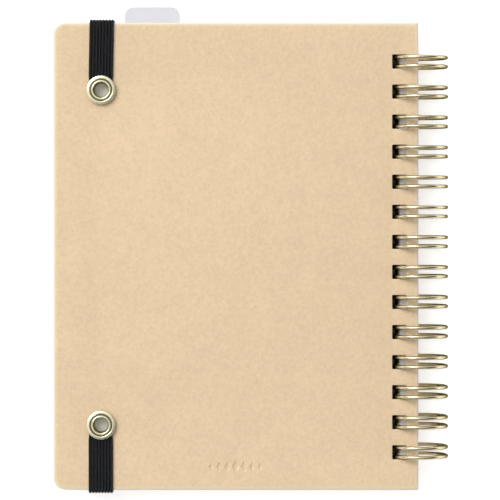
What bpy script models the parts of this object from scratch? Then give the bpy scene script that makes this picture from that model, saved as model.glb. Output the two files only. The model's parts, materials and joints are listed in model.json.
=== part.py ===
"""Twin-loop bound sketchbook lying on its front cover, with an elastic strap riveted to the back cover.

World axes: +X from the fore-edge to the rings, +Y from the foot of the pages to their head,
+Z up through the pages to the back cover.
Local names used below, all counted from the rings' own axis: s is the distance towards the
fore-edge (-X), y runs along the rings, and w is the height.
"""

from math import asin, cos, pi, sin, sqrt

import bmesh
import bpy
from mathutils import Vector

MM = 0.001

# Rings: a 3:1 pitch twin-loop comb, 9/16 inch
PITCH = 25.4 / 3 * MM
PAIRS = 14
PAIR_SPACING = 2.55 * MM
WIRE = 1.05 * MM
RING_RADIUS = 7.65 * MM
LINK_HEIGHT = 2.72 * MM
TIP_HEIGHT = 1.52 * MM
LINK_BEND = 0.7 * MM
WIRE_SIDES = 6
STEPS_PER_TURN = 16
TIP_STEPS = 4

# Covers
COVER_WIDTH = 102.9 * MM
COVER_LENGTH = 131.7 * MM
COVER_THICKNESS = 1.5 * MM
COVER_INNER_HEIGHT = 3.3 * MM
COVER_OUTER_HEIGHT = COVER_INNER_HEIGHT + COVER_THICKNESS
COVER_SPINE_EDGE = 0.5 * MM
COVER_HOLE_START = 3.85 * MM
CORNER_RADIUS = 3.5 * MM
CORNER_STEPS = 3

# The open middle of each cover, clear of rings, strap and eyelets, where it meets what it lies on.
# It stands a hair proud of the rest, so that it stays a face of its own.
PANEL_SPINE = 25 * MM
PANEL_FORE = 75 * MM
PANEL_REACH = 45 * MM
PANEL_CROWN = 0.005 * MM

# Punched holes, the same square die on every leaf
HOLE = 4.0 * MM
HOLE_SHIFT = 0.2 * MM

# Leaves
SHEETS = 25
SHEETS_BELOW_DIVIDER = 13
SHEET_WIDTH = 100.5 * MM
SHEET_LENGTH = 129.0 * MM
SHEET_THICKNESS = 0.15 * MM
SHEET_PITCH = 0.185 * MM
STACK_FOOT = -3.1 * MM
SPINE_MARGIN = 3.6 * MM
RING_TO_HOLE = 1.0 * MM
DIVIDER_THICKNESS = 0.25 * MM
TAB_START = 67.75 * MM
TAB_WIDTH = 15.7 * MM
TAB_RISE = 4.75 * MM
TAB_RADIUS = 2.1 * MM

# Elastic strap and its eyelets
STRAP_CENTRE = 89.85 * MM
STRAP_WIDTH = 6.7 * MM
STRAP_THICKNESS = 0.7 * MM
GAP = 0.1 * MM
EYELET_INSET = 18.7 * MM
EYELET_SHIFT = 0.33 * MM
UPPER_EYELET_Y = COVER_LENGTH / 2 - EYELET_INSET - EYELET_SHIFT
LOWER_EYELET_Y = EYELET_INSET - COVER_LENGTH / 2 - EYELET_SHIFT
EYELET_HOLE = 2.7 * MM
METAL = 0.2 * MM
BARREL_INNER = 2.2 * MM
BARREL_OUTER = 2.4 * MM
FLANGE_RADIUS = 3.9 * MM
CURL_RADIUS = 2.75 * MM
CURL_RISE = 0.62 * MM
WASHER_INNER = 2.5 * MM
WASHER_OUTER = 4.08 * MM
WASHER_RISE = 0.48 * MM
WASHER_CREST = 3.58 * MM
WASHER_SHOULDER = 3.88 * MM
SHOULDER_DROP = 0.08 * MM
GROOVE_RADIUS = 3.0 * MM
BEVEL = 0.15 * MM
ROUND_STEPS = 20

# The ring axis in the world: the origin is the middle of the whole book's underside
RING_OUTER = RING_RADIUS + WIRE / 2
FORE_EDGE = COVER_SPINE_EDGE + COVER_WIDTH
STRAP_REACH = COVER_LENGTH / 2 + GAP + STRAP_THICKNESS
TAB_TOP = COVER_LENGTH / 2 + TAB_RISE
AXIS_X = (FORE_EDGE - RING_OUTER) / 2
AXIS_Z = RING_OUTER
CENTRE_Y = (STRAP_REACH - TAB_TOP) / 2

SMOOTH_ANGLE = 40 * pi / 180

COLOURS = {
    "kraft_board": ((0.79, 0.62, 0.41), 0.85, 0.0),
    "paper": ((0.86, 0.85, 0.81), 0.9, 0.0),
    "divider_film": ((0.80, 0.80, 0.86), 0.45, 0.0),
    "gold_wire": ((0.72, 0.58, 0.30), 0.3, 1.0),
    "brass": ((0.80, 0.62, 0.28), 0.25, 1.0),
    "black_elastic": ((0.02, 0.02, 0.025), 0.8, 0.0),
}


def clear_scene():
    for obj in list(bpy.data.objects):
        bpy.data.objects.remove(obj, do_unlink=True)


def world(s, y, w):
    """A point given from the ring axis, in world coordinates."""
    return Vector((AXIS_X - s, CENTRE_Y + y, AXIS_Z + w))


def finish_of(name):
    material = bpy.data.materials.get(name)
    if material:
        return material
    colour, roughness, metallic = COLOURS[name]
    material = bpy.data.materials.new(name)
    material.use_nodes = True
    shader = material.node_tree.nodes["Principled BSDF"]
    shader.inputs["Base Color"].default_value = (*colour, 1.0)
    shader.inputs["Roughness"].default_value = roughness
    shader.inputs["Metallic"].default_value = metallic
    return material


def empty_at(name, point):
    """A pivot with world axes."""
    pivot = bpy.data.objects.new(name, None)
    pivot.empty_display_size = 0.01
    pivot.location = point
    bpy.context.collection.objects.link(pivot)
    return pivot


def add_object(name, bm, finish, pivot):
    """Turns a bmesh in world coordinates into an object that hangs from its pivot."""
    bmesh.ops.recalc_face_normals(bm, faces=bm.faces[:])
    bmesh.ops.translate(bm, verts=bm.verts[:], vec=-pivot.location)
    mesh = bpy.data.meshes.new(name)
    bm.to_mesh(mesh)
    bm.free()
    mesh.materials.append(finish_of(finish))
    mesh.shade_smooth()
    mesh.set_sharp_from_angle(angle=SMOOTH_ANGLE)
    obj = bpy.data.objects.new(name, mesh)
    bpy.context.collection.objects.link(obj)
    obj.parent = pivot
    return obj


def arc(centre, radius, start, end, steps=CORNER_STEPS):
    """Points (s, y) on an arc, both ends included; angles in degrees."""
    angles = [(start + (end - start) * i / steps) * pi / 180 for i in range(steps + 1)]
    return [(centre[0] + radius * cos(a), centre[1] + radius * sin(a)) for a in angles]


def leaf_outline(spine, fore, half_length, tab=False):
    """Outline (s, y): square corners at the rings, round ones at the fore-edge."""
    r = CORNER_RADIUS
    points = [(spine, half_length), (spine, -half_length)]
    points += arc((fore - r, -half_length + r), r, -90, 0)
    points += arc((fore - r, half_length - r), r, 0, 90)
    if tab:
        end = TAB_START + TAB_WIDTH
        points.append((end, half_length))
        points += arc((end - TAB_RADIUS, TAB_TOP - TAB_RADIUS), TAB_RADIUS, 0, 90)
        points += arc((TAB_START + TAB_RADIUS, TAB_TOP - TAB_RADIUS), TAB_RADIUS, 90, 180)
        points.append((TAB_START, half_length))
    return points


def pair_positions():
    """The middle of each loop pair along the rings."""
    return [(i - (PAIRS - 1) / 2) * PITCH - HOLE_SHIFT for i in range(PAIRS)]


def square_holes(start):
    """The row of square holes whose edge nearest the spine is at start."""
    holes = []
    for y in pair_positions():
        low, high = y - HOLE / 2, y + HOLE / 2
        holes.append([(start, low), (start + HOLE, low), (start + HOLE, high), (start, high)])
    return holes


def round_hole(centre, radius):
    return arc(centre, radius, 0, 360, ROUND_STEPS)[:-1]


def board(name, outline, holes, foot, thickness, finish, pivot, panel=None):
    """A flat sheet of any outline with holes through it, foot being its underside.

    A panel is an outline within the sheet, not a hole, whose corners stand PANEL_CROWN proud on both sides.
    """
    bm = bmesh.new()
    edges = []
    loops = holes + [outline] + ([panel] if panel else [])
    for loop in loops:
        verts = [bm.verts.new(world(s, y, foot)) for s, y in loop]
        for a, b in zip(verts, verts[1:] + verts[:1]):
            edges.append(bm.edges.new((a, b)))
    bmesh.ops.triangle_fill(bm, use_beauty=True, use_dissolve=False, edges=edges)
    if panel:
        bm.faces.new(verts)
        bmesh.ops.translate(bm, verts=verts, vec=(0, 0, -PANEL_CROWN))
    result = bmesh.ops.extrude_face_region(bm, geom=bm.faces[:], use_keep_orig=True)
    for item in result["geom"]:
        if isinstance(item, bmesh.types.BMVert):
            item.co.z = 2 * (AXIS_Z + foot) + thickness - item.co.z
    return add_object(name, bm, finish, pivot)


def turned(name, profile, y, finish, pivot):
    """A ring turned about the upright line through (STRAP_CENTRE, y); profile points are (radius, w)."""
    bm = bmesh.new()
    rows = []
    for i in range(ROUND_STEPS):
        a = 2 * pi * i / ROUND_STEPS
        rows.append([bm.verts.new(world(STRAP_CENTRE + r * cos(a), y + r * sin(a), w)) for r, w in profile])
    for row, after in zip(rows, rows[1:] + rows[:1]):
        for j in range(len(profile)):
            k = (j + 1) % len(profile)
            bm.faces.new((row[j], row[k], after[k], after[j]))
    return add_object(name, bm, finish, pivot)


def extruded(name, outline, s_low, s_high, finish, pivot):
    """A strip whose outline (y, w) is the same all across its width."""
    bm = bmesh.new()
    face = bm.faces.new([bm.verts.new(world(s_low, y, w)) for y, w in outline])
    result = bmesh.ops.extrude_face_region(bm, geom=[face], use_keep_orig=True)
    far = [item for item in result["geom"] if isinstance(item, bmesh.types.BMVert)]
    bmesh.ops.translate(bm, verts=far, vec=(s_low - s_high, 0, 0))
    return add_object(name, bm, finish, pivot)


def wire_route():
    """The whole comb as one wire: a link, a loop out to the rounded tip, the loop back, the next link.

    Angles on the ring grow from the fore-edge side over the top. The links lie under the back cover, and
    each loop runs over the rings' top, round the spine and up through the leaves to its tip.
    """
    link = asin(LINK_HEIGHT / RING_RADIUS)
    bend = LINK_BEND / RING_RADIUS
    half = PAIR_SPACING / 2
    start = link + bend
    end = 2 * pi + asin(TIP_HEIGHT / RING_RADIUS) - half / RING_RADIUS
    step = 2 * pi / STEPS_PER_TURN
    spare = step / 4
    between = [step * i for i in range(STEPS_PER_TURN + 1) if start + spare < step * i < end - spare]
    angles = [start] + between + [end]
    eased = 1 - cos(pi / 4)
    points = []
    for y in pair_positions():
        near, far = y - half, y + half
        points.append((link, near - LINK_BEND))
        points.append((link + eased * bend, near - eased * LINK_BEND))
        points += [(angle, near) for angle in angles]
        for i in range(1, TIP_STEPS):
            turn = pi * i / TIP_STEPS
            points.append((end + half / RING_RADIUS * sin(turn), y - half * cos(turn)))
        points += [(angle, far) for angle in reversed(angles)]
        points.append((link + eased * bend, far + eased * LINK_BEND))
        points.append((link, far + LINK_BEND))
    return [world(RING_RADIUS * cos(angle), y, RING_RADIUS * sin(angle)) for angle, y in points]


def tube(name, route, radius, sides, finish, pivot):
    """A round wire swept along the route without twist, closed at both ends."""
    curve = bpy.data.curves.new(name, "CURVE")
    curve.dimensions = "3D"
    curve.bevel_depth = radius
    curve.bevel_resolution = sides // 2 - 2
    curve.use_fill_caps = True
    curve.twist_mode = "MINIMUM"
    spline = curve.splines.new("POLY")
    spline.points.add(len(route) - 1)
    for point, place in zip(spline.points, route):
        point.co = (*(place - pivot.location), 1.0)
    curve.materials.append(finish_of(finish))
    obj = bpy.data.objects.new(name, curve)
    bpy.context.collection.objects.link(obj)
    obj.parent = pivot
    return obj


def hole_start(w):
    """Where a leaf's holes begin: the pile follows the rings' inner curve."""
    inner = RING_RADIUS - WIRE / 2
    return sqrt(inner**2 - w**2) - RING_TO_HOLE


def cover(name, foot, extra_holes, pivot):
    outline = leaf_outline(COVER_SPINE_EDGE, FORE_EDGE, COVER_LENGTH / 2)
    holes = square_holes(COVER_HOLE_START) + extra_holes
    fore, spine = PANEL_FORE, PANEL_SPINE
    panel = [(spine, -PANEL_REACH), (fore, -PANEL_REACH), (fore, PANEL_REACH), (spine, PANEL_REACH)]
    return board(name, outline, holes, foot, COVER_THICKNESS, "kraft_board", pivot, panel)


def leaf(name, foot, thickness, finish, pivot, tab=False):
    start = hole_start(foot)
    spine = start - SPINE_MARGIN
    outline = leaf_outline(spine, spine + SHEET_WIDTH, SHEET_LENGTH / 2, tab)
    return board(name, outline, square_holes(start), foot, thickness, finish, pivot)


def leaves(pivot):
    foot = STACK_FOOT
    for i in range(1, SHEETS + 1):
        leaf(f"sheet_{i:02d}", foot, SHEET_THICKNESS, "paper", pivot)
        foot += SHEET_PITCH
        if i == SHEETS_BELOW_DIVIDER:
            leaf("tab_divider", foot, DIVIDER_THICKNESS, "divider_film", pivot, tab=True)
            foot += DIVIDER_THICKNESS + SHEET_PITCH - SHEET_THICKNESS


def eyelet_parts(label, y, pivot):
    """The eyelet with its curled barrel, the washer under the curl, and the strap end that they clamp."""
    strap_low = COVER_OUTER_HEIGHT + GAP
    seat = strap_low + STRAP_THICKNESS + GAP
    flange_high = COVER_INNER_HEIGHT - GAP
    flange_low = flange_high - METAL
    curl_low = seat + METAL + GAP
    curl_high = seat + CURL_RISE
    eyelet = [
        (BARREL_INNER, flange_low),
        (FLANGE_RADIUS, flange_low),
        (FLANGE_RADIUS, flange_high),
        (BARREL_OUTER, flange_high),
        (BARREL_OUTER, curl_low),
        (CURL_RADIUS, curl_low),
        (CURL_RADIUS, curl_high - BEVEL),
        (CURL_RADIUS - BEVEL, curl_high),
        (BARREL_INNER + BEVEL, curl_high),
        (BARREL_INNER, curl_high - BEVEL),
    ]
    turned(f"eyelet_{label}", eyelet, y, "brass", pivot)
    washer = [
        (WASHER_INNER, seat),
        (WASHER_OUTER, seat),
        (WASHER_OUTER, seat + BEVEL),
        (WASHER_SHOULDER, seat + WASHER_RISE - SHOULDER_DROP),
        (WASHER_CREST, seat + WASHER_RISE),
        (GROOVE_RADIUS + BEVEL, seat + WASHER_RISE - SHOULDER_DROP),
        (GROOVE_RADIUS, seat + METAL),
        (WASHER_INNER, seat + METAL),
    ]
    turned(f"washer_{label}", washer, y, "brass", pivot)
    side = 1 if y > 0 else -1
    half = STRAP_WIDTH / 2
    tail = arc((STRAP_CENTRE, y), half, 0, -180 * side, ROUND_STEPS // 2)
    outline = tail + [(STRAP_CENTRE - half, side * STRAP_REACH), (STRAP_CENTRE + half, side * STRAP_REACH)]
    hole = round_hole((STRAP_CENTRE, y), EYELET_HOLE)
    board(f"strap_end_{label}", outline, [hole], strap_low, STRAP_THICKNESS, "black_elastic", pivot)


def elastic_strap(pivot):
    """The strap's run across the front cover, with the two stretches that wrap the head and foot."""
    outer = COVER_OUTER_HEIGHT
    far = STRAP_REACH
    near = far - STRAP_THICKNESS
    low = -outer - GAP - STRAP_THICKNESS
    outline = [
        (-far, outer),
        (-far, low),
        (far, low),
        (far, outer),
        (near, outer),
        (near, low + STRAP_THICKNESS),
        (-near, low + STRAP_THICKNESS),
        (-near, outer),
    ]
    half = STRAP_WIDTH / 2
    extruded("elastic_strap", outline, STRAP_CENTRE - half, STRAP_CENTRE + half, "black_elastic", pivot)


def strap_pivot_height():
    """Half a turn about this height lays the strap's run just above the eyelets."""
    eyelet_top = COVER_OUTER_HEIGHT + GAP + STRAP_THICKNESS + GAP + CURL_RISE
    run_top = -COVER_OUTER_HEIGHT - GAP
    return (eyelet_top + GAP + run_top) / 2


def main():
    clear_scene()
    ring_axis = empty_at("ring_axis", world(0, 0, 0))
    strap_axis = empty_at("strap_axis", world(STRAP_CENTRE, 0, strap_pivot_height()))
    eyelets = [(STRAP_CENTRE, UPPER_EYELET_Y), (STRAP_CENTRE, LOWER_EYELET_Y)]
    cover("front_cover", -COVER_OUTER_HEIGHT, [], ring_axis)
    leaves(ring_axis)
    cover("back_cover", COVER_INNER_HEIGHT, [round_hole(c, EYELET_HOLE) for c in eyelets], ring_axis)
    tube("twin_loop_wire", wire_route(), WIRE / 2, WIRE_SIDES, "gold_wire", ring_axis)
    eyelet_parts("upper", UPPER_EYELET_Y, ring_axis)
    eyelet_parts("lower", LOWER_EYELET_Y, ring_axis)
    elastic_strap(strap_axis)


main()
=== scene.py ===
"""Twin-loop bound sketchbook: finished covers, leaves, rings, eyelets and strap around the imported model."""

import json
from math import asin, cos, pi, radians, sin

import bmesh
import bpy
import numpy as np
from bpy.props import FloatProperty, FloatVectorProperty, IntProperty, PointerProperty
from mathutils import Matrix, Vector


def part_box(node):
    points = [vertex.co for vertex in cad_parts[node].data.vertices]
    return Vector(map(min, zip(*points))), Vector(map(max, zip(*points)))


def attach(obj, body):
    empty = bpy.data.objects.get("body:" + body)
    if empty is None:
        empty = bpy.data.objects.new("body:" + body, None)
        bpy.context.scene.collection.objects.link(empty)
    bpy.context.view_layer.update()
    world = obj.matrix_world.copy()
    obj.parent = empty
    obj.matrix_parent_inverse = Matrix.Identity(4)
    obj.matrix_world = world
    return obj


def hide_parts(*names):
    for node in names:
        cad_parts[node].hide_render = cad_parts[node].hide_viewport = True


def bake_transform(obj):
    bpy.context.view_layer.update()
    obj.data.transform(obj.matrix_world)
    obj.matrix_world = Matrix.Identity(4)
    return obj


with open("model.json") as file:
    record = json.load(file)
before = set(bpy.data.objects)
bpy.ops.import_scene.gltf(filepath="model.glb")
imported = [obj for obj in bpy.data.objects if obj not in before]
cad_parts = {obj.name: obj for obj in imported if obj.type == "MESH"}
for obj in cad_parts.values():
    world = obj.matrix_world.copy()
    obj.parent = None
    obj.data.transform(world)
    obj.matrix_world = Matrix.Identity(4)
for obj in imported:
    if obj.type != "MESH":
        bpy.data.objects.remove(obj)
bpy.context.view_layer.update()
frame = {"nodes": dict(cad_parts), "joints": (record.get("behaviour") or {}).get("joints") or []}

bl_info = {
    "name": "Sketchbook Maker",
    "version": (1, 0, 0),
    "blender": (4, 5, 0),
    "location": "3D View > Sidebar > Sketchbook",
    "description": "Builds a wire bound sketchbook with kraft covers and an elastic strap",
    "category": "Add Mesh",
}

MM = 0.001

# Places read from the frame
AXIS = Vector(frame["joints"][0]["pos_m"])
BACK_LOW, BACK_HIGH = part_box("back_cover")
FRONT_LOW, FRONT_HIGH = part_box("front_cover")
WASHER_LOW, WASHER_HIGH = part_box("washer_upper")
TAB_LOW, TAB_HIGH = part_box("tab_divider")
STRAP_LOW, STRAP_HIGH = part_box("elastic_strap")
SHEET_NAMES = sorted(name for name in frame["nodes"] if name.startswith("sheet_"))
EYELET_X = (WASHER_LOW.x + WASHER_HIGH.x) / 2
UPPER_Y = (WASHER_LOW.y + WASHER_HIGH.y) / 2
COVER_Y = (BACK_LOW.y + BACK_HIGH.y) / 2
LOWER_Y = sum(corner.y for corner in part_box("washer_lower")) / 2
OUTER = BACK_HIGH.z - AXIS.z

PAIRS = 14
PAIR_PITCH = 25.4 / 3 * MM
HOLE_SHIFT = 0.2 * MM
FIRST_PAIR_Y = COVER_Y - HOLE_SHIFT - (PAIRS - 1) / 2 * PAIR_PITCH
CORNER_STEPS = 10
ROUND_STEPS = 72
HOLE_NICK = 0.25 * MM
FLAT_END = 0.001 * MM
SPINE_CORNER = 0.35 * MM
LEAST_CORNER = 0.01 * MM
RIM = 1.2 * MM


# ---------------------------------------------------------------- settings


def length(name, description, default):
    return FloatProperty(name=name, description=description, default=default, unit="LENGTH", precision=5)


def amount(name, description, default, **more):
    return FloatProperty(name=name, description=description, default=default, **more)


def tint(name, description, default):
    return FloatVectorProperty(
        name=name, description=description, default=default, subtype="COLOR", min=0, max=1)


class CoverSettings(bpy.types.PropertyGroup):
    corner: length("Corner", "Radius of the two corners at the fore-edge", 3.5 * MM)
    hole: length("Hole", "Side of the square holes", 4.0 * MM)
    margin: length("Margin", "Board between the holes and the spine edge", 3.35 * MM)
    eyelet_hole: length("Eyelet hole", "Radius of the hole for an eyelet", 2.7 * MM)
    ornament: length("Ornament", "Overall length of the pressed ornament", 16.2 * MM)
    ornament_height: length("Ornament height", "From the foot edge to the middle of the ornament", 6.55 * MM)
    depth: length("Ornament depth", "How deep the ornament is pressed", 0.2 * MM)
    colour: tint("Colour", "Kraft board", (0.79, 0.598, 0.385))


class LeafSettings(bpy.types.PropertyGroup):
    corner: length("Corner", "Radius of the two corners at the fore-edge", 3.5 * MM)
    margin: length("Margin", "Paper between the holes and the spine edge", 3.15 * MM)
    jitter: length("Jitter", "How far a leaf may lie out of line with the next", 0.14 * MM)
    tab_start: length("Tab start", "From the ring axis to the tab", 67.75 * MM)
    tab_width: length("Tab width", "Width of the index tab", 15.7 * MM)
    tab_corner: length("Tab corner", "Radius of the tab's corners", 2.5 * MM)
    paper: tint("Paper", "Drawing paper", (0.84, 0.83, 0.79))
    film: tint("Film", "Frosted divider", (0.735, 0.75, 0.805))


class RingSettings(bpy.types.PropertyGroup):
    radius: length("Radius", "From the ring axis to the middle of the wire", 7.65 * MM)
    wire: length("Wire", "Diameter of the wire", 1.05 * MM)
    spacing: length("Spacing", "Between the two wires of a pair", 2.55 * MM)
    link_height: length("Link height", "Height of the links above the ring axis", 2.72 * MM)
    tip_height: length("Tip height", "Height of the loops' tips above the ring axis", 1.52 * MM)
    bend: length("Bend", "Radius at which a link turns into a loop", 0.7 * MM)
    sides: IntProperty(name="Sides", description="Faces round the wire", default=14, min=6)
    colour: tint("Colour", "Gold lacquer", (0.66, 0.575, 0.37))


class EyeletSettings(bpy.types.PropertyGroup):
    hole: length("Hole", "Radius of the hole", 2.2 * MM)
    curl: length("Curl", "Radius of the curled rim", 2.75 * MM)
    washer: length("Washer", "Radius of the washer", 4.08 * MM)
    metal: length("Metal", "Thickness of the sheet metal", 0.2 * MM)
    taper: length("Taper", "How much narrower the barrel is at its inner end", 0.28 * MM)
    groove: length("Groove", "Width of the groove between the curl and the washer's lip", 0.38 * MM)
    bead: length("Bead", "Radius of the washer's rounded edges", 0.26 * MM)
    fall: length("Fall", "How far the washer slopes down to its outer edge", 0.09 * MM)
    colour: tint("Colour", "Pale brass", (0.91, 0.87, 0.62))


class StrapSettings(bpy.types.PropertyGroup):
    ribs: IntProperty(name="Ribs", description="Cords side by side", default=8, min=2)
    width: length("Width", "Width of the strap", 6.85 * MM)
    cord: length("Cord", "Radius of one cord", 0.41 * MM)
    corner: length("Corner", "Radius of the strap's turn round an edge", 0.75 * MM)
    tail: length("Tail", "From an eyelet's centre to the strap's end", 2.45 * MM)
    shift: length("Shift", "How far the strap sits from the eyelets' line, towards the fore-edge", 0.12 * MM)
    lean: length("Lean", "How far the strap leans where it leaves the upper edge", 0.35 * MM)
    slack: length("Slack", "How far the strap's turns stand off the covers' edges", 0.1 * MM)
    colour: tint("Colour", "Black yarn", (0.0042, 0.0052, 0.0068))


class StageSettings(bpy.types.PropertyGroup):
    floor: tint("Floor", "Pale floor", (0.95, 0.95, 0.95))
    glow: amount("Glow", "Light that the floor gives off, as a light table does", 0.55)
    key_power: amount("Key", "Power of the main softbox", 51.0, unit="POWER")
    sky: amount("Sky", "Strength of the light from all round", 0.97)
    distance: length("Distance", "From the ring axis up to the camera", 0.786)
    lens: amount("Lens", "Focal length on a 36 mm frame", 199.75, unit="CAMERA")


SETTINGS = {
    "sketchbook_cover": CoverSettings,
    "sketchbook_leaf": LeafSettings,
    "sketchbook_ring": RingSettings,
    "sketchbook_eyelet": EyeletSettings,
    "sketchbook_strap": StrapSettings,
    "sketchbook_stage": StageSettings,
}


# ---------------------------------------------------------------- materials


class Value:
    """A node's output that takes part in arithmetic: each operation adds a Math node."""

    def __init__(self, finish, socket):
        self.finish = finish
        self.socket = socket

    def math(self, operation, a, b=None, clamp=False):
        sockets = {0: a} if b is None else {0: a, 1: b}
        return self.finish.node("ShaderNodeMath", {"operation": operation, "use_clamp": clamp}, sockets)

    def __add__(self, other):
        return self.math("ADD", self, other)

    def __sub__(self, other):
        return self.math("SUBTRACT", self, other)

    def __rsub__(self, other):
        return self.math("SUBTRACT", other, self)

    def __mul__(self, other):
        return self.math("MULTIPLY", self, other)

    def __truediv__(self, other):
        return self.math("DIVIDE", self, other)

    def __pow__(self, other):
        return self.math("POWER", self, other)

    def __abs__(self):
        return self.math("ABSOLUTE", self)

    __radd__ = __add__
    __rmul__ = __mul__

    def sine(self):
        return self.math("SINE", self)

    def clamped(self):
        return self.math("ADD", self, 0.0, clamp=True)

    def above(self, low, high):
        """0 up to low, 1 from high, and a smooth step between."""
        settings = {"interpolation_type": "SMOOTHSTEP"}
        sockets = {"Value": self, "From Min": low, "From Max": high}
        return self.finish.node("ShaderNodeMapRange", settings, sockets)


class Finish:
    """One material: a Principled shader and the nodes that vary it."""

    def __init__(self, name, roughness, metallic=0.0, **uniform):
        self.material = bpy.data.materials.new(name)
        self.material.use_nodes = True
        self.tree = self.material.node_tree
        self.shader = self.tree.nodes["Principled BSDF"]
        self.set("Roughness", roughness)
        self.set("Metallic", metallic)
        for label, value in uniform.items():
            self.set(label.replace("_", " "), value)

    def feed(self, socket, value):
        if isinstance(value, Value):
            self.tree.links.new(value.socket, socket)
        else:
            socket.default_value = value

    def set(self, label, value):
        self.feed(self.shader.inputs[label], value)

    def node(self, kind, settings=None, sockets=None, output=0):
        """Adds a node: its settings first, then the values or links of its sockets."""
        made = self.tree.nodes.new(kind)
        for label, value in (settings or {}).items():
            setattr(made, label, value)
        for label, value in (sockets or {}).items():
            self.feed(made.inputs[label], value)
        return Value(self, made.outputs[output])

    def place(self, scale=(1, 1, 1), turn=0.0, shift=(0, 0, 0)):
        """Object coordinates in millimetres, turned about Z, then scaled."""
        point = self.node("ShaderNodeTexCoord", output=3)
        sockets = {"Vector": point, "Scale": (1 / MM,) * 3, "Rotation": (0, 0, turn), "Location": shift}
        turned = self.node("ShaderNodeMapping", None, sockets)
        return self.node("ShaderNodeMapping", None, {"Vector": turned, "Scale": scale})

    def noise(self, vector, scale=1.0, detail=2.0, roughness=0.5):
        sockets = {"Vector": vector, "Scale": scale, "Detail": detail, "Roughness": roughness}
        return self.node("ShaderNodeTexNoise", None, sockets)

    def mix(self, factor, a, b):
        return self.node("ShaderNodeMix", {"data_type": "RGBA"}, {0: factor, 6: a, 7: b}, output=2)

    def bump(self, height, distance):
        self.set("Normal", self.node("ShaderNodeBump", None, {"Height": height, "Distance": distance}))

    def mark(self, name):
        """A number that the mesh carries."""
        return self.node("ShaderNodeAttribute", {"attribute_name": name}, output=2)

    def normal(self, axis):
        """One coordinate of the direction that the surface faces, 0 to 2 for X to Z."""
        facing = self.node("ShaderNodeTexCoord", output=1)
        return self.node("ShaderNodeSeparateXYZ", None, {0: facing}, output=axis)


def shade(colour, factor):
    return tuple(channel * factor for channel in colour) + (1.0,)


def kraft(colour):
    """Kraft board: cloudy pulp, short fibres lying every way, pressed layers on its cut edges, a painted
    highlight on its soft edges and a thin line of painted shade at their very edge.
    """
    board = Finish("kraft_board", 0.82, Specular_IOR_Level=0.35)
    cloud = board.noise(board.place(), 0.11, 5.0, 0.6)
    pulp = board.noise(board.place(), 0.9, 4.0, 0.7)
    base = board.mix(cloud, shade(colour, 0.92), shade(colour, 1.05))
    base = board.mix((pulp - 0.5) * 2.6 + 0.5, board.mix(0.19, base, shade(colour, 0.35)), base)
    dark = light = 0.0
    for i in range(4):
        lie = board.place((0.55, 5.5, 1.0), radians(24 + 47 * i), (3.1 * i, 7.7 * i, 0))
        dark = board.noise(lie, 1.0, 1.5).above(0.655, 0.76) + dark
        lie = board.place((0.42, 4.6, 1.0), radians(3 + 41 * i), (11.3 * i, 2.9 * i, 5.0))
        light = board.noise(lie, 1.0, 1.5).above(0.66, 0.78) + light
    base = board.mix((dark * 0.30).clamped(), base, shade(colour, 0.55))
    base = board.mix((light * 0.35).clamped(), base, (0.93, 0.80, 0.62, 1.0))
    wall, rim = board.mark("wall"), board.mark("rim")
    layers = board.noise(board.place((0.35, 0.35, 9.0)), 1.0, 3.0, 0.7)
    edge = board.mix(layers.above(0.3, 0.7), shade(colour, 0.62), shade(colour, 0.98))
    # Painted highlight: the soft edges are paled towards a whitish kraft, as light catches them
    base = board.mix((rim * 0.9).clamped(), base, (0.80, 0.71, 0.57, 1.0))
    # Painted shade: a thin dark line on the outermost edge
    base = board.mix(rim.above(0.85, 0.97) * 0.45, base, shade(colour, 0.42))
    board.set("Base Color", board.mix(wall * 0.85, base, edge))
    grain = board.noise(board.place(), 3.4, 3.0, 0.65)
    board.set("Roughness", pulp * 0.16 + 0.74)
    board.bump(grain + pulp * 1.3 + dark * 0.25 + layers * wall * 1.5, 0.028 * MM)
    return board.material


def drawing_paper(colour):
    """Uncoated drawing paper: a felt-marked tooth, faint cloudiness, and softer, darker cut edges."""
    paper = Finish("drawing_paper", 0.9, Specular_IOR_Level=0.3)
    cloud = paper.noise(paper.place(), 0.3, 3.0)
    base = paper.mix(cloud, shade(colour, 0.97), shade(colour, 1.02))
    wall = paper.mark("wall")
    fray = paper.noise(paper.place((0.9, 0.9, 6.5)), 1.0, 3.0, 0.7)
    edge = paper.mix(fray.above(0.32, 0.68), shade(colour, 0.66), shade(colour, 1.0))
    paper.set("Base Color", paper.mix(wall, base, edge))
    tooth = paper.noise(paper.place(), 2.6, 4.0, 0.7)
    paper.set("Roughness", tooth * 0.12 + 0.82)
    paper.bump(tooth, 0.03 * MM)
    return paper.material


def frosted_film(colour):
    """Frosted polypropylene: a fine sand-cast haze with a soft sheen, brighter where it is cut."""
    film = Finish("divider_film", 0.42, Transmission_Weight=0.22, IOR=1.49)
    haze = film.noise(film.place(), 5.0, 2.0)
    streak = film.noise(film.place((0.05, 1.4, 1.0), radians(8)), 1.0, 2.0)
    wall = film.mark("wall")
    body = film.mix(streak, shade(colour, 0.975), shade(colour, 1.02))
    film.set("Base Color", film.mix(wall * 0.6, body, (0.90, 0.91, 0.95, 1.0)))
    film.set("Roughness", haze * 0.2 + 0.34)
    film.bump(haze, 0.006 * MM)
    return film.material


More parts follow.
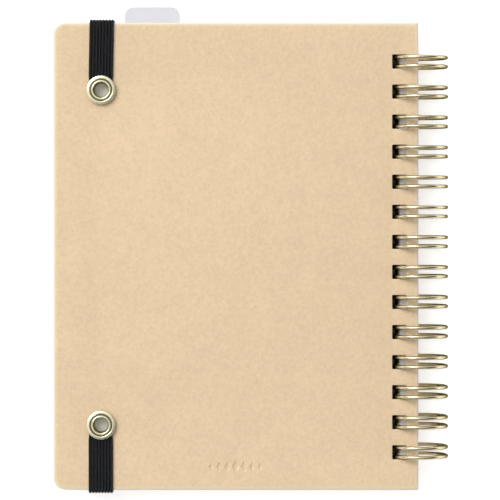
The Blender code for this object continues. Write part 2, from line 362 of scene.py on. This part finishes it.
def gold_wire(colour):
    """Lacquered wire: faint drawing marks, small changes of tone, and shadow painted on its flanks
    and where it dips into the holes."""
    wire = Finish("gold_wire", 0.24, 1.0, Coat_Roughness=0.12, Specular_Tint=(0.16, 0.13, 0.05, 1.0))
    tone = wire.noise(wire.place(), 0.35, 3.0)
    base = wire.mix(tone, shade(colour, 0.86), shade(colour, 1.1))
    speck = wire.noise(wire.place(), 2.2, 3.0, 0.7)
    base = wire.mix(speck.above(0.62, 0.78) * 0.5, base, (0.45, 0.33, 0.16, 1.0))
    place = wire.node("ShaderNodeTexCoord", output=3)
    height = wire.node("ShaderNodeSeparateXYZ", None, {0: place}, output=2)
    across = wire.node("ShaderNodeSeparateXYZ", None, {0: place}, output=0)
    hidden = 1.0 - abs(height - AXIS.z).above(OUTER - 1.4 * MM, OUTER + 0.1 * MM)
    hidden = hidden * (1.0 - across.above(AXIS.x - 5.4 * MM, AXIS.x - 4.4 * MM))
    flank = 1.0 - abs(wire.normal(2)).above(0.15, 0.75)
    base = wire.mix(flank * 0.85, base, (0.13, 0.115, 0.06, 1.0))
    wire.set("Base Color", wire.mix(hidden * 0.93, base, shade(colour, 0.04)))
    wire.set("Roughness", speck * 0.14 + 0.15)
    wire.set("Coat Weight", tone * 0.15)
    wire.bump(wire.noise(wire.place((7.0, 0.6, 7.0)), 1.0, 2.0), 0.006 * MM)
    return wire.material


def brass(colour):
    """Stamped brass: turning marks round the hole, full colour on the rims, and painted shade in the groove,
    which is also rougher.
    """
    metal = Finish("brass", 0.2, 1.0, Specular_Tint=(0.3, 0.25, 0.1, 1.0))
    tone = metal.noise(metal.place(), 0.8, 3.0)
    base = metal.mix(tone, shade(colour, 0.9), shade(colour, 1.08))
    groove = metal.mark("groove")
    # Painted shade: the groove between the curl and the washer's lip is darkened, as the curl shades it
    metal.set("Base Color", metal.mix(groove * 0.92, base, (0.13, 0.11, 0.045, 1.0)))
    scuff = metal.noise(metal.place((1.0, 6.0, 1.0), radians(35)), 1.2, 3.0)
    metal.set("Roughness", scuff * 0.16 + groove * 0.25 + 0.12)
    metal.bump(scuff, 0.004 * MM)
    return metal.material


def elastic_yarn(colour):
    """Knitted elastic: yarn wound in slanting stitches round each cord, a dusty sheen on the crowns of the
    stitches, and a painted highlight along each cord's crest with painted shade on its sides.
    """
    yarn = Finish("black_elastic", 0.62, Sheen_Weight=0.1, Sheen_Roughness=0.4, Specular_IOR_Level=0.2)
    along, around = yarn.mark("along"), yarn.mark("around")
    stitch = (along * (2 * pi / (0.42 * MM)) + around * (2 * pi * 2)).sine() * 0.5 + 0.5
    ply = (along * (2 * pi / (0.14 * MM)) - around * (2 * pi * 3)).sine() * 0.5 + 0.5
    fuzz = yarn.noise(yarn.place(), 4.0, 3.0, 0.7)
    crown = stitch * 0.6 + ply * 0.25 + fuzz * 0.3
    # Painted highlight and shade: each cord is light on its crest and dark on its sides towards the next
    # cord; the stitches vary it
    crest_highlight = 1.0 - abs(yarn.normal(0)).above(0.1, 0.6)
    lit = crown.above(0.35, 1.0) * 0.6 + 0.4
    yarn.set("Base Color", yarn.mix(lit * crest_highlight, shade(colour, 0.12), shade(colour, 4.6)))
    yarn.set("Roughness", 0.78 - crown * 0.22)
    yarn.bump(stitch + ply * 0.35 + fuzz * 0.4, 0.07 * MM)
    return yarn.material


# How much less the floor glows far from the book than beside it
FAR_DIMMING = 0.35
# The strip of painted shade under the holes: where it fades in and out, counted from the ring axis towards
# the fore-edge, and where its tips fade, counted outwards from the covers' head and foot edges
SHADE_STRIP_START = (4.0 * MM, 6.0 * MM)
SHADE_STRIP_END = (9.5 * MM, 12.0 * MM)
SHADE_STRIP_TIPS = (-5.0 * MM, -2.0 * MM)
SHADE_STRIP_DARKNESS = 0.94


def pale_floor(colour, glow):
    """A light table: it glows everywhere but under the book, and has a strip of painted shade under the
    holes.
    """
    floor = Finish("pale_floor", 0.9, Specular_IOR_Level=0.2, Emission_Strength=glow)
    place = floor.node("ShaderNodeTexCoord", output=3)
    across = floor.node("ShaderNodeSeparateXYZ", None, {0: place}, output=0)
    upward = floor.node("ShaderNodeSeparateXYZ", None, {0: place}, output=1)
    outside = abs(across - (BACK_LOW.x + BACK_HIGH.x) / 2) - (BACK_HIGH.x - BACK_LOW.x) / 2
    beyond = abs(upward - COVER_Y) - (BACK_HIGH.y - BACK_LOW.y) / 2
    clear = outside.math("MAXIMUM", outside, beyond).above(-1.0 * MM, 1.0 * MM)
    far = (across * across + upward * upward).above(0.3**2, 1.0)
    glowing = clear * (1.0 - far * FAR_DIMMING)
    floor.set("Emission Color", floor.mix(glowing, (0.0, 0.0, 0.0, 1.0), (1.0, 1.0, 1.0, 1.0)))
    speck = floor.noise(floor.place(), 0.05, 2.0)
    table = floor.mix(speck, shade(colour, 0.995), shade(colour, 1.005))
    inward = AXIS.x - across
    # Painted shade: a dark strip in the floor's colour under the holes, so that they read dark from above
    painted_shade = inward.above(*SHADE_STRIP_START) * (1.0 - inward.above(*SHADE_STRIP_END))
    painted_shade = painted_shade * (1.0 - beyond.above(*SHADE_STRIP_TIPS))
    floor.set("Base Color", floor.mix(painted_shade * SHADE_STRIP_DARKNESS, table, (0.0, 0.0, 0.0, 1.0)))
    return floor.material


# ---------------------------------------------------------------- meshes


def add_mesh(name, bm, material, smooth_angle=35):
    """Closes a bmesh into a named object at the origin, with its faces pointing out."""
    bmesh.ops.recalc_face_normals(bm, faces=bm.faces[:])
    mesh = bpy.data.meshes.new(name)
    bm.to_mesh(mesh)
    bm.free()
    mesh.materials.append(material)
    mesh.shade_smooth()
    mesh.set_sharp_from_angle(angle=radians(smooth_angle))
    made = bpy.data.objects.new(name, mesh)
    bpy.context.scene.collection.objects.link(made)
    return made


def arc(centre, radius, start, end, steps=CORNER_STEPS):
    """Points on an arc, both ends included; angles in degrees."""
    angles = [radians(start + (end - start) * i / steps) for i in range(steps + 1)]
    return [(centre[0] + radius * cos(a), centre[1] + radius * sin(a)) for a in angles]


def circle(centre, radius):
    """A clockwise circle for any inset, so that the board lies on its left."""
    return lambda inset: arc(centre, radius + inset, 360, 0, ROUND_STEPS)[:-1]


def square(x, y, side):
    """A clockwise square hole whose right edge is at x and whose middle is at height y, for any inset."""

    def outline(inset):
        nick = HOLE_NICK + inset
        low, high, left, right = y - side / 2 - inset, y + side / 2 + inset, x - side - inset, x + inset
        points = arc((left + nick, low + nick), nick, 270, 180, 3)
        points += arc((left + nick, high - nick), nick, 180, 90, 3)
        points += arc((right - nick, high - nick), nick, 90, 0, 3)
        points += arc((right - nick, low + nick), nick, 0, -90, 3)
        return points

    return outline


def leaf_outline(low, high, corner, spine_corner):
    """An anticlockwise leaf for any inset, round at the fore-edge and nearly square at the rings."""

    def outline(inset):
        r, q = max(corner - inset, LEAST_CORNER), max(spine_corner - inset, LEAST_CORNER)
        left, right, foot, head = low.x + inset, high.x - inset, low.y + inset, high.y - inset
        points = arc((left + r, foot + r), r, 180, 270)
        points += arc((right - q, foot + q), q, -90, 0, 3)
        points += arc((right - q, head - q), q, 0, 90, 3)
        points += arc((left + r, head - r), r, 90, 180)
        return points

    return outline


def offset(points, distance):
    """Moves an outline to its left by a distance, corners mitred."""
    flat = np.array(points)
    ahead = np.roll(flat, -1, 0) - flat
    ahead /= np.linalg.norm(ahead, axis=1)[:, None]
    behind = np.roll(ahead, 1, 0)
    left_ahead = np.c_[-ahead[:, 1], ahead[:, 0]]
    left_behind = np.c_[-behind[:, 1], behind[:, 0]]
    mitre = (left_ahead + left_behind) / (1 + (left_ahead * left_behind).sum(1))[:, None]
    return flat + distance * mitre


def any_shape(points):
    """An outline of any shape for small insets."""
    return lambda inset: offset(points, inset)


def ring_of(bm, outline, inset, z):
    return [bm.verts.new((x, y, z)) for x, y in outline(inset)]


def bridge(bm, one, two):
    faces = []
    for i in range(len(one)):
        k = (i + 1) % len(one)
        faces.append(bm.faces.new((one[i], one[k], two[k], two[i])))
    return faces


def fill(bm, loops):
    """A flat surface bounded by the loops, the inner ones being holes."""
    edges = []
    for loop in loops:
        for a, b in zip(loop, loop[1:] + loop[:1]):
            edges.append(bm.edges.get((a, b)) or bm.edges.new((a, b)))
    bmesh.ops.triangle_fill(bm, use_beauty=True, use_dissolve=False, edges=edges)


def board(name, loops, low, high, material, recesses=(), depth=0.0):
    """A flat board with soft edges.

    Each loop is (outline, profile), a profile being (inset, drop) pairs from the flat to the wall.
    The attribute "wall" is 1 on the cut edge, and "rim" grows from 0 to 1 over RIM of the faces beside it.
    """
    bm = bmesh.new()
    wall = bm.faces.layers.float.new("wall")
    rim = bm.verts.layers.float.new("rim")
    tops, feet = [], []
    for outline, profile in loops:
        steps = [(inset, high - drop) for inset, drop in profile]
        steps += [(inset, low + drop) for inset, drop in reversed(profile)]
        rings = [ring_of(bm, outline, inset, z) for inset, z in steps]
        reach = min(RIM, profile[0][0])
        for ring, (inset, z) in zip(rings, steps):
            for vert in ring:
                vert[rim] = max(0.0, 1.0 - inset / reach) if reach else 0.0
        for k, (one, two) in enumerate(zip(rings, rings[1:])):
            for face in bridge(bm, one, two):
                face[wall] = float(k == len(profile) - 1)
        tops.append(rings[0])
        feet.append(rings[-1])
    for outline in recesses:
        rings = [ring_of(bm, outline, inset * MM, high - depth * share)
                 for inset, share in RECESS_PROFILE]
        for one, two in zip(rings, rings[1:]):
            bridge(bm, one, two)
        bm.faces.new(rings[-1])
        tops.append(rings[0])
    fill(bm, tops)
    fill(bm, feet)
    return add_mesh(name, bm, material)


def pair_heights():
    return [FIRST_PAIR_Y + i * PAIR_PITCH for i in range(PAIRS)]


# ---------------------------------------------------------------- geometry nodes


class Tree:
    """A Geometry Nodes tree with named inputs after the geometry."""

    KINDS = {"int": "NodeSocketInt", "length": "NodeSocketFloat", "vector": "NodeSocketVector",
             "material": "NodeSocketMaterial"}

    def __init__(self, name, **inputs):
        self.group = bpy.data.node_groups.new(name, "GeometryNodeTree")
        sockets = self.group.interface
        sockets.new_socket("Geometry", in_out="INPUT", socket_type="NodeSocketGeometry")
        for label, kind in inputs.items():
            sockets.new_socket(label, in_out="INPUT", socket_type=self.KINDS[kind])
        sockets.new_socket("Geometry", in_out="OUTPUT", socket_type="NodeSocketGeometry")
        self.entry = self.group.nodes.new("NodeGroupInput")

    def given(self, label):
        return self.entry.outputs[label]

    def node(self, kind, settings=None, sockets=None, output=0):
        made = self.group.nodes.new(kind)
        for label, value in (settings or {}).items():
            setattr(made, label, value)
        for label, value in (sockets or {}).items():
            if isinstance(value, bpy.types.NodeSocket):
                self.group.links.new(value, made.inputs[label])
            else:
                made.inputs[label].default_value = value
        return made.outputs[output]

    def close(self, geometry, material):
        """Ends the tree: shaded smooth, instances made real, and given their material."""
        smooth = self.node("GeometryNodeSetShadeSmooth", None, {0: geometry})
        real = self.node("GeometryNodeRealizeInstances", None, {0: smooth})
        done = self.node("GeometryNodeSetMaterial", None, {0: real, "Material": material})
        self.group.links.new(done, self.group.nodes.new("NodeGroupOutput").inputs[0])

    def applied(self, name, guide, **values):
        """Runs the tree on the guide and returns the result as a plain mesh object."""
        modifier = guide.modifiers.new(name, "NODES")
        modifier.node_group = self.group
        identifiers = {item.name: item.identifier for item in self.group.interface.items_tree
                       if item.item_type == "SOCKET" and item.in_out == "INPUT"}
        for label, value in values.items():
            modifier[identifiers[label]] = value
        guide.update_tag()
        graph = bpy.context.evaluated_depsgraph_get()
        mesh = bpy.data.meshes.new_from_object(guide.evaluated_get(graph))
        guide.modifiers.remove(modifier)
        bpy.data.objects.remove(guide, do_unlink=True)
        mesh.name = name
        made = bpy.data.objects.new(name, mesh)
        bpy.context.scene.collection.objects.link(made)
        return made


def guide_line(points):
    """An open path of edges, for a tree to follow."""
    mesh = bpy.data.meshes.new("guide")
    mesh.from_pydata([tuple(p) for p in points], [(i, i + 1) for i in range(len(points) - 1)], [])
    guide = bpy.data.objects.new("guide", mesh)
    bpy.context.scene.collection.objects.link(guide)
    return guide


def row_tree(name, follow, **extra):
    """Copies its geometry along a row; a followed path is first swept by a round section."""
    inputs = {"count": "int", "step": "vector", "material": "material", **extra}
    if follow:
        inputs.update(radius="length", sides="int")
    tree = Tree(name, **inputs)
    shape = tree.given("Geometry")
    if follow:
        shape = tree.node("GeometryNodeMeshToCurve", None, {0: shape})
    line = tree.node("GeometryNodeMeshLine", None,
                     {"Count": tree.given("count"), "Offset": tree.given("step")})
    shape = tree.node("GeometryNodeInstanceOnPoints", None, {"Points": line, "Instance": shape})
    if follow:
        shape = tree.node("GeometryNodeRealizeInstances", None, {0: shape})
        shape = swept(tree, shape)
    tree.close(shape, tree.given("material"))
    return tree


def swept(tree, path):
    """Sweeps a circle along the path, keeping the place along and around it as attributes."""
    along = tree.node("GeometryNodeSplineParameter", None, None, output=1)
    path = tree.node("GeometryNodeStoreNamedAttribute", {"data_type": "FLOAT", "domain": "POINT"},
                     {0: path, "Name": "along", "Value": along})
    section = tree.node("GeometryNodeCurvePrimitiveCircle", None,
                        {"Resolution": tree.given("sides"), "Radius": tree.given("radius")})
    around = tree.node("GeometryNodeSplineParameter", None, None, output=0)
    section = tree.node("GeometryNodeStoreNamedAttribute", {"data_type": "FLOAT", "domain": "POINT"},
                        {0: section, "Name": "around", "Value": around})
    tube = tree.node("GeometryNodeCurveToMesh", None, {"Curve": path, "Profile Curve": section})
    return tree.node("GeometryNodeMergeByDistance", None, {0: tube, "Distance": 0.004 * MM})


def close_ends(piece):
    """Caps the open ends of swept wires."""
    bm = bmesh.new()
    bm.from_mesh(piece.data)
    bmesh.ops.holes_fill(bm, edges=[e for e in bm.edges if e.is_boundary])
    bmesh.ops.recalc_face_normals(bm, faces=bm.faces[:])
    bm.to_mesh(piece.data)
    bm.free()


# ---------------------------------------------------------------- operators


class Maker(bpy.types.Operator):
    """Shared by every operator below."""

    bl_options = {"REGISTER", "UNDO"}


# How a recess goes down, as (distance outside its outline in millimetres, share of its depth)
RECESS_PROFILE = [(0.13, 0.0), (0.06, 0.05), (0.0, 0.35), (-0.07, 0.85), (-0.13, 1.0)]
# How far a cover's surface falls away near its edge, as (inset, drop) in millimetres
EDGE_PROFILE = [(2.0, 0.0), (1.4, 0.006), (1.0, 0.02), (0.7, 0.045), (0.45, 0.09), (0.25, 0.16), (0.1, 0.27),
                (0.025, 0.38), (0.0, 0.5)]
HOLE_PROFILE = [(0.22, 0.0), (0.12, 0.015), (0.04, 0.07), (0.0, 0.16)]


def in_metres(profile):
    return [(inset * MM, drop * MM) for inset, drop in profile]


# How many lozenges, and half the width and height of the middle one as shares of their spacing
LOZENGES = 7
LOZENGE_WIDE = 0.43
LOZENGE_TALL = 0.8


def ornament_loops(s):
    """A pressed ornament: a row of lozenges, tallest in the middle."""
    x, y = (BACK_LOW.x + BACK_HIGH.x) / 2, BACK_LOW.y + s.ornament_height
    count = LOZENGES
    step = s.ornament / count
    loops = []
    for i in range(count):
        share = 1 - abs(i - (count - 1) / 2) / count
        wide, tall = step * LOZENGE_WIDE * share, step * LOZENGE_TALL * share
        middle = x + (i - (count - 1) / 2) * step
        corners = [(middle - wide, y), (middle, y + tall), (middle + wide, y), (middle, y - tall)]
        loops.append(any_shape(corners))
    return loops


class MakeCovers(Maker):
    """Builds both kraft covers with soft die-cut edges, punched holes and the pressed ornament"""

    bl_idname = "sketchbook.covers"
    bl_label = "Covers"

    def execute(self, context):
        s = context.scene.sketchbook_cover
        material = kraft(s.colour)
        edge, rim = in_metres(EDGE_PROFILE), in_metres(HOLE_PROFILE)
        for name, node, body, low, high in (
            ("back_board", "back_cover", "back", BACK_LOW, BACK_HIGH),
            ("front_board", "front_cover", "front", FRONT_LOW, FRONT_HIGH),
        ):
            loops = [(leaf_outline(low, high, s.corner, SPINE_CORNER), edge)]
            loops += [(square(high.x - s.margin, y, s.hole), rim) for y in pair_heights()]
            recesses = ()
            if body == "back":
                loops += [(circle((EYELET_X, y), s.eyelet_hole), rim) for y in (UPPER_Y, LOWER_Y)]
                recesses = ornament_loops(s)
            made = board(name, loops, low.z, high.z, material, recesses, s.depth)
            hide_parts(node)
            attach(made, body)
        return {"FINISHED"}


class MakeSheets(Maker):
    """Builds each sheet of drawing paper, a little out of line with the next as a real pad is"""

    bl_idname = "sketchbook.sheets"
    bl_label = "Sheets"

    def execute(self, context):
        s = context.scene.sketchbook_leaf
        cover = context.scene.sketchbook_cover
        material = drawing_paper(s.paper)
        wall = [(0.0, 0.0)]
        random = np.random.default_rng(7)
        for name in SHEET_NAMES:
            low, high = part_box(name)
            across, up = random.uniform(-1, 1, 2)
            shift = Vector((across * s.jitter, up * s.jitter * 0.5, 0))
            loops = [(leaf_outline(low + shift, high + shift, s.corner, SPINE_CORNER), wall)]
            holes = [square(high.x + shift.x - s.margin, y + shift.y, cover.hole) for y in pair_heights()]
            made = board(f"drawing_{name}", loops + [(hole, wall) for hole in holes], low.z, high.z, material)
            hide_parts(name)
            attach(made, name)
        return {"FINISHED"}


def tab_outline(low, high, s):
    """The divider's outline, with the index tab standing above its head edge."""
    head = 2 * COVER_Y - low.y
    top = TAB_HIGH.y
    right = AXIS.x - s.tab_start
    left = right - s.tab_width
    r = s.tab_corner
    plain = leaf_outline(low, Vector((high.x, head, high.z)), s.corner, SPINE_CORNER)(0.0)
    turn = next(i for i, (x, y) in enumerate(plain) if y > head - FLAT_END and x < right)
    tab = [(right, head)] + arc((right - r, top - r), r, 0, 90) + arc((left + r, top - r), r, 90, 180)
    return any_shape(plain[:turn] + tab + [(left, head)] + plain[turn:])


class MakeDivider(Maker):
    """Builds the frosted index divider"""

    bl_idname = "sketchbook.divider"
    bl_label = "Divider"

    def execute(self, context):
        s = context.scene.sketchbook_leaf
        cover = context.scene.sketchbook_cover
        soft = in_metres([(0.3, 0.0), (0.08, 0.004), (0.02, 0.03), (0.0, 0.07)])
        loops = [(tab_outline(TAB_LOW, TAB_HIGH, s), soft)]
        loops += [(square(TAB_HIGH.x - s.margin, y, cover.hole), soft) for y in pair_heights()]
        made = board("frosted_divider", loops, TAB_LOW.z, TAB_HIGH.z, frosted_film(s.film))
        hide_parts("tab_divider")
        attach(made, "divider")
        return {"FINISHED"}


def loop_path(s):
    """One link, loop, rounded tip, loop and link of the comb, for the pair nearest the foot."""
    link = asin(s.link_height / s.radius)
    bend = s.bend / s.radius
    half = s.spacing / 2
    start = link + bend
    end = 2 * pi + asin(s.tip_height / s.radius) - half / s.radius
    steps = 76
    y = FIRST_PAIR_Y
    out = [(start + (end - start) * i / steps, -half) for i in range(steps + 1)]
    tip = [(end + half / s.radius * sin(pi * i / 12), -half * cos(pi * i / 12)) for i in range(1, 12)]
    corner = [(link + bend * (1 - cos(a)), -half - s.bend + s.bend * sin(a))
              for a in (radians(90 * i / 6) for i in range(6))]
    route = [(link, -PAIR_PITCH / 2)] + corner + out + tip
    route += [(angle, -across) for angle, across in reversed([(link, -PAIR_PITCH / 2)] + corner + out)]
    return [(AXIS.x - s.radius * cos(a), y + across, AXIS.z + s.radius * sin(a)) for a, across in route]


class MakeRings(Maker):
    """Builds the gold wire comb, one pair of loops repeated along the spine"""

    bl_idname = "sketchbook.rings"
    bl_label = "Rings"

    def execute(self, context):
        s = context.scene.sketchbook_ring
        tree = row_tree("Wire comb", follow=True)
        made = tree.applied("gold_comb", guide_line(loop_path(s)), count=PAIRS, step=(0, PAIR_PITCH, 0),
                            radius=s.wire / 2, sides=s.sides, material=gold_wire(s.colour))
        close_ends(made)
        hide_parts("twin_loop_wire")
        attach(made, "back")
        return {"FINISHED"}


def turned(name, profile, material, groove=(0.0, 0.0)):
    """A closed profile of (radius, height) turned about the upper eyelet's line."""
    bm = bmesh.new()
    mark = bm.verts.layers.float.new("groove")
    rows = []
    for i in range(ROUND_STEPS):
        a = 2 * pi * i / ROUND_STEPS
        row = []
        for r, z in profile:
            vert = bm.verts.new((EYELET_X + r * cos(a), LOWER_Y + r * sin(a), z))
            vert[mark] = 1.0 if groove[0] < r < groove[1] else 0.0
            row.append(vert)
        rows.append(row)
    for row, after in zip(rows, rows[1:] + rows[:1]):
        bridge(bm, row, after)
    return add_mesh(name, bm, material)


def eyelet_profile(s, seat, foot, top):
    """Half section of an eyelet: the curl, the tapering barrel and the flange inside the cover."""
    metal = s.metal
    curl = (s.curl - s.hole) / 2
    flange = s.washer - metal
    narrow = s.hole - s.taper
    soft, softer = 0.1 * MM, 0.35 * MM
    profile = arc((s.hole + curl, top - curl), curl, 180, -45, 16)
    profile += [(s.hole + metal, seat + metal), (narrow + metal, foot + metal + soft)]
    profile += arc((flange - metal / 2, foot + metal / 2), metal / 2, 90, -90, 6)
    return profile + [(narrow + softer, foot), (narrow + soft, foot + soft), (narrow, foot + softer)]


def washer_profile(s, seat, rise, lip):
    """Half section of a washer: flat in the groove, rising at the lip and sloping to its outer edge."""
    inner, bevel, floor, ease = s.hole + 0.3 * MM, 0.08 * MM, seat + s.metal, 0.1 * MM
    profile = [(inner, seat), (s.washer - bevel, seat), (s.washer, seat + 0.06 * MM)]
    profile += arc((s.washer - s.bead, seat + rise - s.bead - s.fall), s.bead, 0, 70, 8)
    profile += arc((lip + s.bead, seat + rise - s.bead), s.bead, 75, 170, 8)
    return profile + [(lip, floor + bevel), (lip - ease, floor), (inner, floor)]


class MakeEyelets(Maker):
    """Builds the two curled eyelets and the washers under their curls"""

    bl_idname = "sketchbook.eyelets"
    bl_label = "Eyelets"

    def execute(self, context):
        s = context.scene.sketchbook_eyelet
        material = brass(s.colour)
        seat = WASHER_LOW.z
        foot, top = (corner.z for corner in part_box("eyelet_upper"))
        lip = s.curl + s.groove
        eyelet = eyelet_profile(s, seat, foot, top)
        washer = washer_profile(s, seat, WASHER_HIGH.z - seat, lip)
        tree = row_tree("Eyelet pair", follow=False)
        step = (0, UPPER_Y - LOWER_Y, 0)
        for name, profile, groove, nodes in (
            ("brass_eyelets", eyelet, (0, 0), ("eyelet_upper", "eyelet_lower")),
            ("brass_washers", washer, (s.hole, lip + 0.04 * MM), ("washer_upper", "washer_lower")),
        ):
            guide = turned("guide", profile, material, groove)
            made = tree.applied(name, guide, count=2, step=step, material=material)
            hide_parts(*nodes)
            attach(made, "back")
        return {"FINISHED"}


def strap_path(s):
    """The route of the strap's outermost cord: over the head, across the front and over the foot."""
    reach = (STRAP_HIGH.y - STRAP_LOW.y) / 2 - s.cord + s.slack
    rise = WASHER_LOW.z - AXIS.z - s.cord - 0.03 * MM
    low = STRAP_LOW.z - AXIS.z + s.cord
    r = s.corner
    step = 0.9 * MM
    corners = [(UPPER_Y + s.tail - COVER_Y, rise), (reach, rise), (reach, low), (-reach, low), (-reach, rise),
               (LOWER_Y - s.tail - COVER_Y, rise)]
    points = [Vector(corners[0])]
    for before, here, after in zip(corners, corners[1:], corners[2:]):
        before, here, after = Vector(before), Vector(here), Vector(after)
        back, ahead = (before - here).normalized(), (after - here).normalized()
        centre = here + (back + ahead) * r
        points += straight(points[-1], here + back * r, step)
        points += [centre - back * r * sin(a) - ahead * r * cos(a)
                   for a in (pi / 2 * i / 6 for i in range(1, 7))]
    points += straight(points[-1], Vector(corners[-1]), step)
    x = EYELET_X - s.width / 2 + s.cord
    return [(x, COVER_Y + y, AXIS.z + w) for y, w in points]


def straight(start, end, step):
    """Points after start on the way to end."""
    count = max(1, round((end - start).length / step))
    return [start.lerp(end, i / count) for i in range(1, count + 1)]


# How far from its end the strap is gathered, and by what share of its width
GATHER_REACH = 2.2 * MM
GATHER = 0.05


class MakeStrap(Maker):
    """Builds the elastic strap from cords side by side, from eyelet to eyelet round the closed book"""

    bl_idname = "sketchbook.strap"
    bl_label = "Elastic strap"

    def execute(self, context):
        s = context.scene.sketchbook_strap
        tree = row_tree("Ribbed strap", follow=True)
        step = ((s.width - 2 * s.cord) / (s.ribs - 1), 0, 0)
        made = tree.applied("ribbed_strap", guide_line(strap_path(s)), count=s.ribs, step=step,
                            radius=s.cord, sides=10, material=elastic_yarn(s.colour))
        close_ends(made)
        self.settle(made, s)
        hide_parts("elastic_strap", "strap_end_upper", "strap_end_lower")
        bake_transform(made)
        return {"FINISHED"}

    def settle(self, made, s):
        """Leans the strap towards the rings at the head edge and gathers it a little under each washer."""
        half = (BACK_HIGH.y - BACK_LOW.y) / 2
        for vert in made.data.vertices:
            place = vert.co
            place.x -= s.shift * (1 + (place.y - COVER_Y) / half / 3)
            if place.z > AXIS.z and place.y > UPPER_Y:
                share = min(1.0, (place.y - UPPER_Y) / (BACK_HIGH.y - UPPER_Y))
                place.x += s.lean * share
            elif place.y > COVER_Y:
                share = max(0.0, (place.y - COVER_Y) / (BACK_HIGH.y - COVER_Y))
                place.x += s.lean * share ** 3
            if place.z > AXIS.z:
                tail = min(abs(place.y - UPPER_Y), abs(place.y - LOWER_Y)) - s.tail
                gather = max(0.0, 1 - tail / GATHER_REACH) ** 2
                place.x = EYELET_X + (place.x - EYELET_X) * (1 - GATHER * gather)


# The side of the sky that is brightest
SKY_SIDE = (-0.45, 0.5, 0.9)
# The camera hangs this far from the ring axis towards the fore-edge, and this far above the middle
CAMERA_INWARD = 47.93 * MM
CAMERA_ALONG = 14.16 * MM
CAMERA_SHIFT = -0.088
KEY_PLACE = (-1.25, 1.3, 2.1)
KEY_SIZE = 1.6


class MakeStage(Maker):
    """Builds the pale floor, the soft lights and the camera above the book"""

    bl_idname = "sketchbook.stage"
    bl_label = "Stage"

    def execute(self, context):
        s = context.scene.sketchbook_stage
        scene = context.scene
        self.floor(s)
        self.softbox("key", KEY_PLACE, KEY_SIZE, s.key_power)
        self.sky(scene, s.sky)
        camera = bpy.data.cameras.new("camera")
        camera.lens = s.lens
        camera.shift_y = CAMERA_SHIFT
        camera.clip_start, camera.clip_end = 0.01, 20
        seat = bpy.data.objects.new("camera", camera)
        seat.location = (AXIS.x - CAMERA_INWARD, COVER_Y + CAMERA_ALONG, AXIS.z + s.distance)
        scene.collection.objects.link(seat)
        scene.camera = seat
        scene.view_settings.view_transform = "Standard"
        return {"FINISHED"}

    def floor(self, s):
        """A wide floor that curves up into a low wall all round."""
        bend, flat, wall_top = 0.5, 2.2, 0.7
        profile = [(0.0, 0.0), (0.5, 0.0), (flat, 0.0)]
        turn = [pi / 2 * i / 16 for i in range(1, 17)]
        profile += [(flat + bend * sin(a), bend - bend * cos(a)) for a in turn]
        profile += [(flat + bend, wall_top)]
        bm = bmesh.new()
        verts = [bm.verts.new((r, 0, z)) for r, z in profile]
        edges = [bm.edges.new(pair) for pair in zip(verts, verts[1:])]
        bmesh.ops.spin(bm, geom=verts + edges, cent=(0, 0, 0), axis=(0, 0, 1), angle=2 * pi, steps=96)
        bmesh.ops.remove_doubles(bm, verts=bm.verts[:], dist=MM)
        made = add_mesh("studio_floor", bm, pale_floor(s.floor, s.glow))
        if made.data.polygons[0].normal.z < 0:
            made.data.flip_normals()

    def softbox(self, name, place, size, power):
        light = bpy.data.lights.new(name, "AREA")
        light.size = size
        light.energy = power
        lamp = bpy.data.objects.new(name, light)
        lamp.location = place
        lamp.rotation_euler = (-Vector(place)).to_track_quat("-Z", "Y").to_euler()
        bpy.context.scene.collection.objects.link(lamp)

    def sky(self, scene, strength):
        """Light from all round, brightest towards the key light and dim on the far side of the book."""
        world = bpy.data.worlds.new("studio_sky")
        world.use_nodes = True
        nodes, links = world.node_tree.nodes, world.node_tree.links
        direction = nodes.new("ShaderNodeTexCoord").outputs["Generated"]
        facing = nodes.new("ShaderNodeVectorMath")
        facing.operation = "DOT_PRODUCT"
        facing.inputs[1].default_value = Vector(SKY_SIDE).normalized()
        ramp = nodes.new("ShaderNodeMapRange")
        ramp.interpolation_type = "SMOOTHSTEP"
        ramp.inputs["From Min"].default_value = 0.15
        ramp.inputs["From Max"].default_value = 0.95
        ramp.inputs["To Min"].default_value = strength * 0.1
        ramp.inputs["To Max"].default_value = strength
        links.new(direction, facing.inputs[0])
        links.new(facing.outputs["Value"], ramp.inputs["Value"])
        nodes["Background"].inputs["Color"].default_value = (1.0, 1.0, 1.0, 1.0)
        links.new(ramp.outputs[0], nodes["Background"].inputs["Strength"])
        scene.world = world


MAKERS = (MakeCovers, MakeSheets, MakeDivider, MakeRings, MakeEyelets, MakeStrap, MakeStage)


class SketchbookPanel(bpy.types.Panel):
    """Lists the makers and their settings"""

    bl_idname = "VIEW3D_PT_sketchbook"
    bl_label = "Sketchbook"
    bl_space_type = "VIEW_3D"
    bl_region_type = "UI"
    bl_category = "Sketchbook"

    def draw(self, context):
        for maker in MAKERS:
            self.layout.operator(maker.bl_idname)
        for name, kind in SETTINGS.items():
            box = self.layout.box()
            box.label(text=name.replace("_", " ").capitalize())
            for label in kind.__annotations__:
                box.prop(getattr(context.scene, name), label)


CLASSES = (*SETTINGS.values(), *MAKERS, SketchbookPanel)


def register():
    for kind in CLASSES:
        bpy.utils.register_class(kind)
    for name, kind in SETTINGS.items():
        setattr(bpy.types.Scene, name, PointerProperty(type=kind))


def unregister():
    for name in SETTINGS:
        delattr(bpy.types.Scene, name)
    for kind in reversed(CLASSES):
        bpy.utils.unregister_class(kind)


def main():
    register()
    bpy.ops.sketchbook.stage()
    bpy.ops.sketchbook.covers()
    bpy.ops.sketchbook.sheets()
    bpy.ops.sketchbook.divider()
    bpy.ops.sketchbook.rings()
    bpy.ops.sketchbook.eyelets()
    bpy.ops.sketchbook.strap()


if __name__ == "__main__":
    main()
